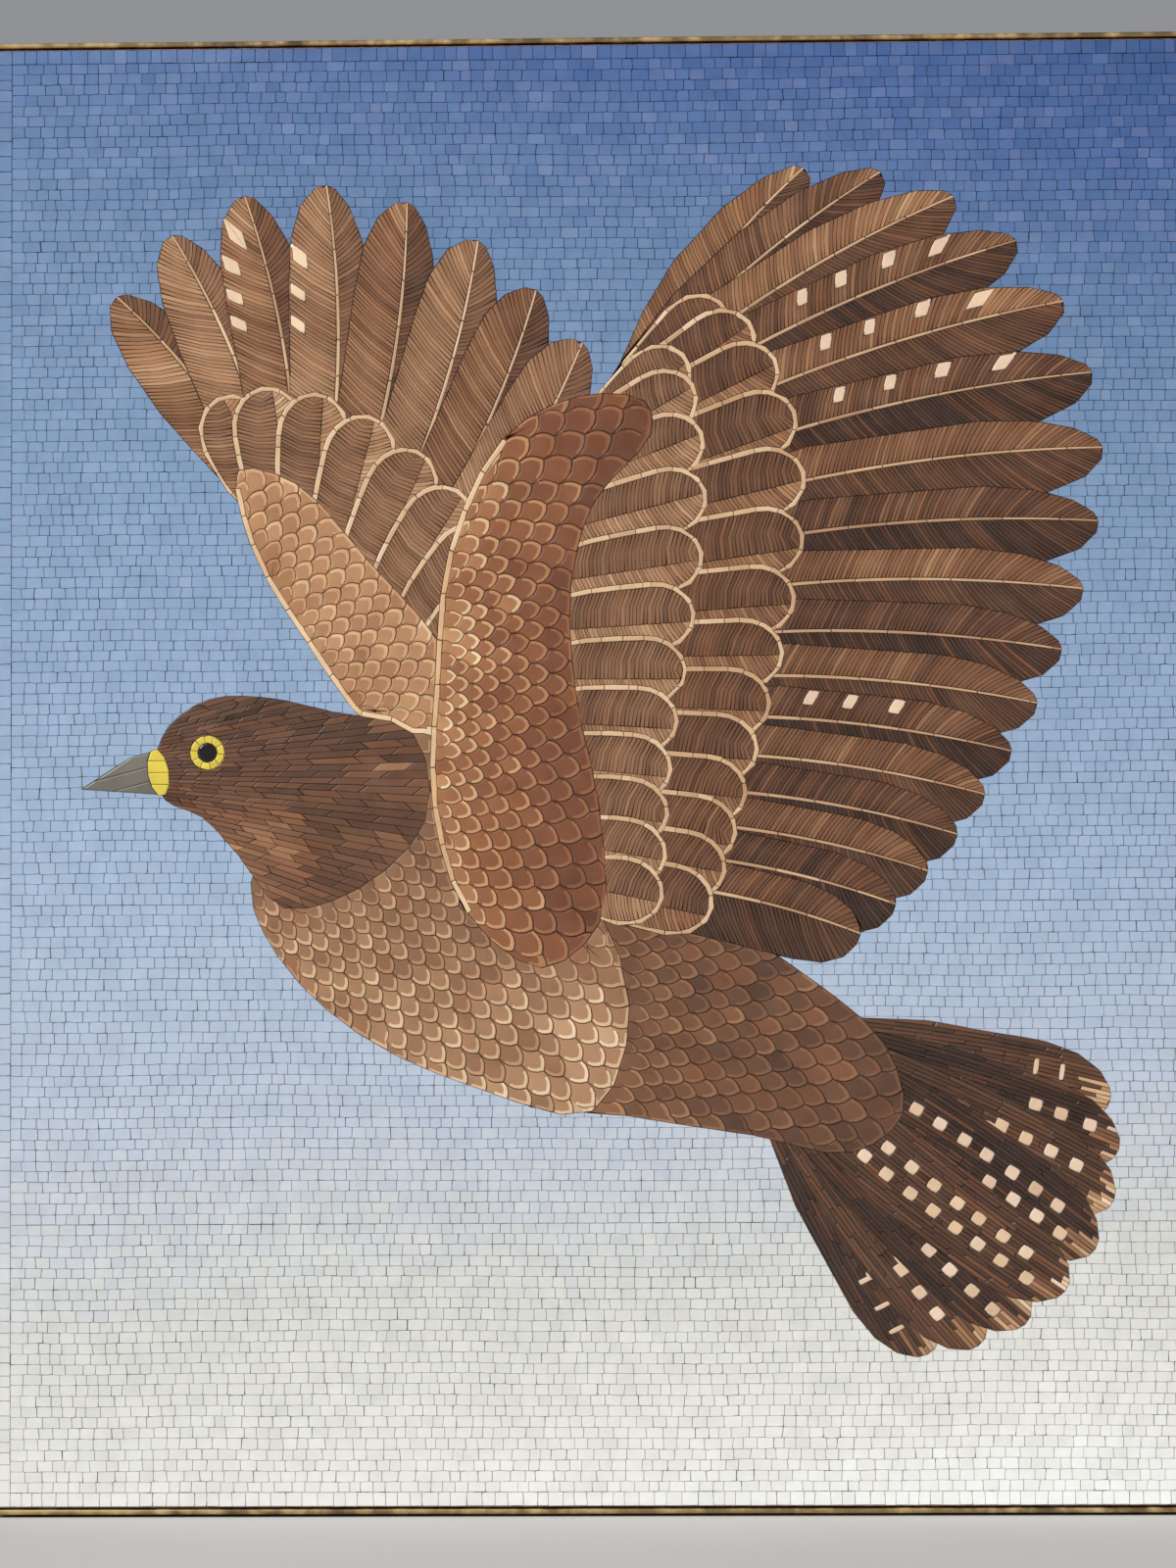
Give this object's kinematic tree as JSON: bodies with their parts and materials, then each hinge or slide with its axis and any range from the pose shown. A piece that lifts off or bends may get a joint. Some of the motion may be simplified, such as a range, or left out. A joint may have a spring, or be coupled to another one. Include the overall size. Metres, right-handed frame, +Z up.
{
  "type": "mosaic panel",
  "caption": "Small rectangular micromosaic panel: a rising brown bird against a graded blue sky, set in glass tesserae in a shallow brass tray.",
  "frame": {"origin": "centre of the tray's flat back face", "axes": "+Z up along the panel's height, +X to the right seen from the front; the picture faces -Y and the back faces +Y"},
  "size_m": [0.1, 0.005, 0.12],
  "materials": {
    "brass": "rolled sheet, dulled and slightly darkened at the edges",
    "mastic": "dark grey oil mastic, matt",
    "glass_sky_cream": "opaque cream-white glass",
    "glass_sky_pale": "opaque pale blue glass",
    "glass_sky_light": "opaque light blue glass",
    "glass_sky_middle": "opaque middle blue glass",
    "glass_sky_deep": "opaque deep blue glass",
    "glass_dark_brown": "opaque dark brown glass filaments",
    "glass_brown": "opaque brown glass filaments",
    "glass_soft_brown": "opaque soft brown glass filaments",
    "glass_rust": "opaque rust-brown glass tiles",
    "glass_tan": "opaque tan glass tiles",
    "glass_yellow": "opaque yellow glass",
    "glass_grey": "opaque grey glass",
    "glass_black": "opaque black glass"
  },
  "bodies": {
    "root": {"beak": "glass_grey", "belly": "glass_brown", "breast": "glass_soft_brown", "eye_ring": "glass_yellow", "far_coverts": "glass_soft_brown", "far_primary_1": "glass_brown", "far_primary_2": "glass_soft_brown", "far_primary_3": "glass_brown", "far_primary_4": "glass_soft_brown", "far_primary_5": "glass_brown", "far_primary_6": "glass_soft_brown", "far_primary_7": "glass_brown", "far_primary_8": "glass_soft_brown", "far_shoulder": "glass_tan", "gape": "glass_yellow", "head": "glass_brown", "mastic_bed": "mastic", "near_greater_coverts": "glass_brown", "near_median_coverts": "glass_soft_brown", "near_primary_1": "glass_brown", "near_primary_2": "glass_dark_brown", "near_primary_3": "glass_brown", "near_primary_4": "glass_dark_brown", "near_primary_5": "glass_brown", "near_primary_6": "glass_dark_brown", "near_primary_7": "glass_brown", "near_primary_8": "glass_dark_brown", "near_primary_9": "glass_brown", "near_secondary_1": "glass_brown", "near_secondary_2": "glass_dark_brown", "near_secondary_3": "glass_brown", "near_secondary_4": "glass_dark_brown", "near_secondary_5": "glass_brown", "near_secondary_6": "glass_dark_brown", "near_secondary_7": "glass_brown", "near_secondary_8": "glass_dark_brown", "near_shoulder": "glass_rust", "pupil": "glass_black", "sky_border": "glass_sky_middle", "sky_cream_1": "glass_sky_cream", "sky_deep_1": "glass_sky_deep", "sky_light_1": "glass_sky_light", "sky_light_2": "glass_sky_light", "sky_middle_1": "glass_sky_middle", "sky_middle_2": "glass_sky_middle", "sky_middle_3": "glass_sky_middle", "sky_pale_1": "glass_sky_pale", "sky_pale_2": "glass_sky_pale", "tail_feather_1": "glass_brown", "tail_feather_2": "glass_dark_brown", "tail_feather_3": "glass_brown", "tail_feather_4": "glass_dark_brown", "tail_feather_5": "glass_brown", "tail_feather_6": "glass_dark_brown", "tail_feather_7": "glass_brown", "tail_feather_8": "glass_dark_brown", "tray": "brass"}
  },
  "joints": []
}
